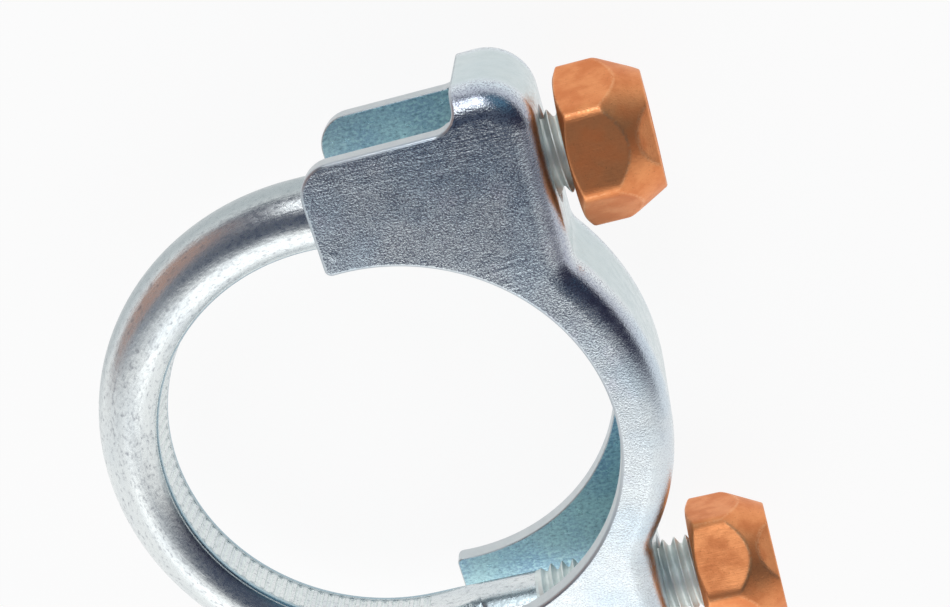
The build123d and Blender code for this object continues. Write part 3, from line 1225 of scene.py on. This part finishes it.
@dataclass(frozen=True)
class RodZinc(Finish):
    """Zinc plating on drawn round bar, scored lengthwise, with rolled threads and painted shade on its
    outer and inner sides.
    """

    roughness_spread: Pair = (-0.05, 0.08)
    relief_depth: float = 0.035
    pale: Colour = (0.80, 0.84, 0.84)
    grey: Coat = Coat((0.70, 0.75, 0.77), span=(0.36, 0.66))
    streak: Coat = Coat((0.52, 0.58, 0.62), 0.5, (0.56, 0.74))
    speck: Coat = Coat((0.30, 0.32, 0.36), 0.7, (0.52, 0.72))
    # Painted shade: the bar's outer side is painted darker along the upper leg and the start of the bend
    outer_teal: Coat = Coat((0.36, 0.42, 0.44), 0.8)
    # Painted shade: the bar's inner side beside the ribs is painted darker from the middle of the bend on
    inner_dark: Coat = Coat((0.32, 0.40, 0.43), 0.8)
    land_teal: Coat = Coat((0.40, 0.53, 0.60), 0.8)
    thread_grey: Coat = Coat((0.90, 0.96, 0.94), 0.85)
    clouds: Grain = Grain((11.0, 6.0, 6.0), 3.0)
    streaks: Grain = Grain((9.0, 0.3, 0.3), 3.0, 0.65, height=0.4)
    specks: Grain = Grain((0.75, 0.38, 0.38), 3.0, 0.7, height=0.4)
    peel: Grain = Grain((1.3, 0.8, 0.8), 3.0, 0.6, height=0.7)
    waves: Grain = Grain((7.0, 3.0, 3.0), 1.0, height=1.5)
    thread_span: Pair = (0.6, 0.1)
    land_span: Pair = (1.4, 2.0)
    outer_span: Pair = (3.1, 4.2)
    outer_length: Pair = (60.0, 40.0)
    inner_span: Pair = (-2.6, -3.2)
    inner_length: Pair = (50.0, 68.0)
    ribs_end: Pair = (1.8, 2.3)
    thread_rougher: float = 0.3
    thread_relief: float = 0.35

    def looks(self, nodes: NodeGraph) -> tuple[Socket, Socket, Socket]:
        """The bar's colour, roughness and relief."""
        laid = nodes.stored("laid", Stored.VECTOR)
        length, out, z = nodes.axes(laid)
        zone = nodes.stored("zone", Stored.NUMBER)
        threaded = nodes.ramp(nodes.apart(zone, Zone.EDGE.value), *self.thread_span)
        outer = nodes.times(nodes.across(out, self.outer_span), nodes.across(length, self.outer_length))
        inner = nodes.times(nodes.across(out, self.inner_span), nodes.across(length, self.inner_length))
        beside_ribs = nodes.across(nodes.math("ABSOLUTE", z), self.ribs_end)
        streaks = nodes.grain(laid, self.streaks)
        specks = nodes.grain(laid, self.specks)
        colour = nodes.coat(self.pale, self.grey, nodes.grain(laid, self.clouds))
        colour = nodes.coat(colour, self.streak, streaks)
        colour = nodes.coat(colour, self.speck, specks)
        # Painted shade on the outer side
        colour = nodes.coat(colour, self.outer_teal, outer)
        # Painted shade on the inner side beside the ribs
        colour = nodes.coat(colour, self.inner_dark, inner, beside_ribs)
        colour = nodes.coat(colour, self.land_teal, nodes.ramp(zone, *self.land_span))
        colour = nodes.coat(colour, self.thread_grey, threaded)
        roughness = nodes.total(self.uneven(nodes, specks), nodes.times(threaded, self.thread_rougher))
        relief = nodes.heap(
            (nodes.grain(laid, self.peel), self.peel.height),
            (streaks, self.streaks.height),
            (nodes.grain(laid, self.waves), self.waves.height),
            (specks, self.specks.height),
        )
        left = nodes.ramp(threaded, 0.0, 1.0, 1.0, self.thread_relief)
        return colour, roughness, nodes.times(relief, left)


@dataclass(frozen=True)
class SatinCopper(Finish):
    """Satin copper plating on a formed lock nut, worn along its edges, where its colour is also painted
    brighter as a highlight.
    """

    roughness_spread: Pair = (-0.05, 0.06)
    lit: Colour = (0.90, 0.37, 0.15)
    dull: Coat = Coat((0.80, 0.29, 0.11), span=(0.36, 0.64))
    brushed: Coat = Coat((0.80, 0.29, 0.11), 0.5, (0.5, 0.7))
    stain: Coat = Coat((0.52, 0.17, 0.07), 0.6, (0.62, 0.76))
    # Worn edges, painted brighter as a highlight as well
    worn: Coat = Coat((0.96, 0.52, 0.27), 0.5)
    clouds: Grain = Grain((3.5, 3.0, 3.0), 4.0, 0.6, height=1.5)
    marks: Grain = Grain((2.6, 0.16, 0.16), 2.0, 0.6, height=0.75)
    sand: Grain = Grain((0.24, 0.24, 0.24), 2.0, 0.6, height=0.6)
    edge_span: Pair = (0.2, 1.0)
    rub_span: Pair = (0.35, 0.6)
    rubbed_smoother: float = 0.1

    def looks(self, nodes: NodeGraph) -> tuple[Socket, Socket, Socket]:
        """The nut's colour, roughness and relief."""
        place = nodes.stored("laid", Stored.VECTOR)
        clouds = nodes.grain(place, self.clouds)
        marks = nodes.grain(place, self.marks)
        sand = nodes.grain(place, self.sand)
        on_edge = nodes.ramp(nodes.stored("zone", Stored.NUMBER), *self.edge_span)
        rubbed = nodes.times(on_edge, nodes.ramp(sand, *self.rub_span))
        colour = nodes.coat(self.lit, self.dull, clouds)
        colour = nodes.coat(colour, self.brushed, marks)
        colour = nodes.coat(colour, self.stain, sand)
        # Worn edges with a painted highlight
        colour = nodes.coat(colour, self.worn, rubbed)
        smoother = nodes.times(rubbed, self.rubbed_smoother)
        roughness = nodes.math("SUBTRACT", self.uneven(nodes, clouds), smoother)
        relief = nodes.heap(
            (marks, self.marks.height),
            (sand, self.sand.height),
            (clouds, self.clouds.height),
        )
        return colour, roughness, relief


@dataclass(frozen=True)
class SkyPatch:
    """A soft round field of colour in the studio's sky, with its two radii in degrees."""

    way: Triple
    inner: float
    outer: float
    colour: Colour


@dataclass(frozen=True)
class Lamp:
    """A soft lamp that looks at the clamp: its place and size in metres, its power in watts."""

    name: str
    place: Triple
    size: Pair
    watts: float

    def hang(self) -> None:
        """Make the lamp."""
        data = bpy.data.lights.new(self.name, "AREA")
        data.shape = "RECTANGLE"
        data.size, data.size_y = self.size
        data.energy = self.watts
        lamp = link_object(self.name, data)
        lamp.location = self.place
        lamp.rotation_euler = (-Vector(self.place)).to_track_quat("-Z", "Y").to_euler()


@dataclass
class Studio:
    """The floor, the soft lamps, the sky and the camera."""

    floor_z: float = -10.5
    floor_size: float = 6.0
    floor_glow: float = 0.92
    floor_pale: Colour = (0.95, 0.95, 0.95)
    floor_white: Colour = (1.0, 1.0, 1.0)
    white_way: Triple = (-0.208, -0.978, -0.106)
    white_edge: Pair = (0.04, 0.27)
    white: Colour = (0.97, 0.97, 0.97)
    dark: Colour = (0.06, 0.07, 0.105)
    grey_way: Triple = (-1.0, 0.0, 0.0)
    grey_edge: Pair = (0.25, 0.85)
    grey: Colour = (0.30, 0.32, 0.36)
    horizon: Colour = (0.34, 0.39, 0.41)
    horizon_edge: Pair = (0.08, -0.02)
    patches: tuple[SkyPatch, ...] = (
        SkyPatch((-0.824, 0.476, 0.309), 15.0, 28.0, (0.48, 0.31, 0.26)),
        SkyPatch((0.95, -0.10, 0.31), 40.0, 64.0, (0.04, 0.04, 0.07)),
        SkyPatch((0.56, 0.71, 0.42), 8.0, 30.0, (0.14, 0.28, 0.38)),
    )
    card_place: Triple = (20.0, 60.0, 186.0)
    card_radius: float = 170.0
    card_solid: float = 105.0
    card_far_side: float = 45.0
    card_colour: Colour = (0.055, 0.07, 0.11)
    card_clear: Colour = (1.0, 1.0, 1.0)
    card_steps: int = 64
    lamps: tuple[Lamp, ...] = (
        Lamp("side_lamp", (0.0, 0.74, 0.50), (0.32, 0.48), 2.0),
        Lamp("soft_lamp", (-0.25, -0.72, 0.55), (0.8, 0.8), 1.0),
    )
    focal_length: float = 61.05
    sensor_width: float = 36.0
    camera_clip: Pair = (0.01, 20.0)
    camera_place: Triple = (39.603, 87.603, 178.140)
    camera_axes: tuple[Triple, Triple, Triple] = (
        (0.962505, 0.230939, 0.142303),
        (-0.268493, 0.885827, 0.378446),
        (-0.038658, -0.402464, 0.914618),
    )

    def floor(self) -> None:
        """Lay the plain pale floor that the clamp's lower flange rests on."""
        half = self.floor_size / 2
        z = self.floor_z * MM
        mesh = bpy.data.meshes.new("floor")
        corners = [(-half, -half, z), (half, -half, z), (half, half, z), (-half, half, z)]
        mesh.from_pydata(corners, [], [(0, 1, 2, 3)])
        floor = link_object("floor", mesh)
        material, nodes = new_material("pale_floor")
        ray = nodes.add("ShaderNodeLightPath")
        seen = nodes.math("MAXIMUM", ray.outputs["Is Camera Ray"], ray.outputs["Is Glossy Ray"])
        seen = nodes.math("MAXIMUM", seen, ray.outputs["Is Transmission Ray"])
        plain = nodes.plain("ShaderNodeBsdfDiffuse", self.floor_pale)
        bright = nodes.plain("ShaderNodeEmission", self.floor_white)
        nodes.close(nodes.blend(plain, bright, nodes.times(seen, self.floor_glow)))
        mesh.materials.append(material)

    def dark_card(self) -> None:
        """Hold a dark card above the clamp, which only its reflections show and which casts no shadow."""
        far = self.card_far_side * MM
        rim = arc_points((0.0, 0.0), self.card_radius * MM, 0.0, 360.0, self.card_steps)[:-1]
        ring = [(x, min(y, far), 0.0) for x, y in rim[:, :2].tolist()]
        mesh = bpy.data.meshes.new("dark_card")
        mesh.from_pydata(ring, [], [tuple(range(self.card_steps))])
        card = link_object("dark_card", mesh)
        card.location = Vector(self.card_place) * MM
        material, nodes = new_material("dark_card")
        covered = nodes.spot(nodes.own_place(), (0.0, 0.0, 0.0), self.card_solid, self.card_radius)
        clear = nodes.plain("ShaderNodeBsdfTransparent", self.card_clear)
        dark = nodes.plain("ShaderNodeEmission", self.card_colour)
        nodes.close(nodes.blend(clear, dark, covered))
        mesh.materials.append(material)
        card.visible_camera = card.visible_diffuse = card.visible_shadow = False

    def sky(self) -> None:
        """Make the sky: white on the clamp's lower side, dark overhead, pale at the horizon."""
        world = bpy.data.worlds.new("studio")
        bpy.context.scene.world = world
        world.use_nodes = True
        nodes = NodeGraph(world.node_tree)
        way = nodes.add("ShaderNodeTexCoord").outputs["Generated"]
        fields = [
            (self.grey, self.grey_way, self.grey_edge),
            (self.horizon, tuple(UP), self.horizon_edge),
        ]
        for patch in self.patches:
            edge = (math.cos(math.radians(patch.outer)), math.cos(math.radians(patch.inner)))
            fields.append((patch.colour, patch.way, edge))
        fields.append((self.white, self.white_way, self.white_edge))
        colour = self.dark
        for above, centre, edge in fields:
            colour = nodes.layer(colour, above, nodes.ramp(nodes.toward(way, centre), *edge))
        background = nodes.add("ShaderNodeBackground")
        nodes.join(colour, background.inputs["Color"])
        nodes.close(background.outputs[0], "ShaderNodeOutputWorld")

    def camera(self) -> None:
        """Set the camera at the photograph's angle and distance."""
        data = bpy.data.cameras.new("camera")
        data.sensor_width = self.sensor_width
        data.lens = self.focal_length
        data.clip_start, data.clip_end = self.camera_clip
        camera = link_object("camera", data)
        matrix = Matrix(self.camera_axes).to_4x4()
        matrix.translation = Vector(self.camera_place) * MM
        camera.matrix_world = matrix
        bpy.context.scene.camera = camera

    def build(self) -> None:
        """Set up the whole studio."""
        self.floor()
        self.sky()
        self.dark_card()
        for lamp in self.lamps:
            lamp.hang()
        self.camera()
        bpy.context.scene.view_settings.view_transform = "Standard"


def dress(piece: bpy.types.Object, material: bpy.types.Material) -> None:
    """Give a piece its one material and report it."""
    piece.data.materials.clear()
    piece.data.materials.append(material)
    log.info("%s: %d faces", piece.name, len(piece.data.polygons))


def main() -> None:
    """Build every piece in order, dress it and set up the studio."""
    logging.basicConfig(level=logging.INFO, format="%(name)s: %(message)s")
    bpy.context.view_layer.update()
    dress(Saddle().build(), SheetZinc("sheet_zinc", 0.2).make())
    dress(UBolt().build(), RodZinc("rod_zinc", 0.26).make())
    copper = SatinCopper("satin_copper", 0.5).make()
    dress(CrownNut(Side.UPPER, gap=2.2, turn=10.0).build(), copper)
    dress(CrownNut(Side.LOWER, gap=4.3, turn=40.0).build(), copper)
    Studio().build()
    log.info("camera and studio are set")


if __name__ == "__main__":
    main()
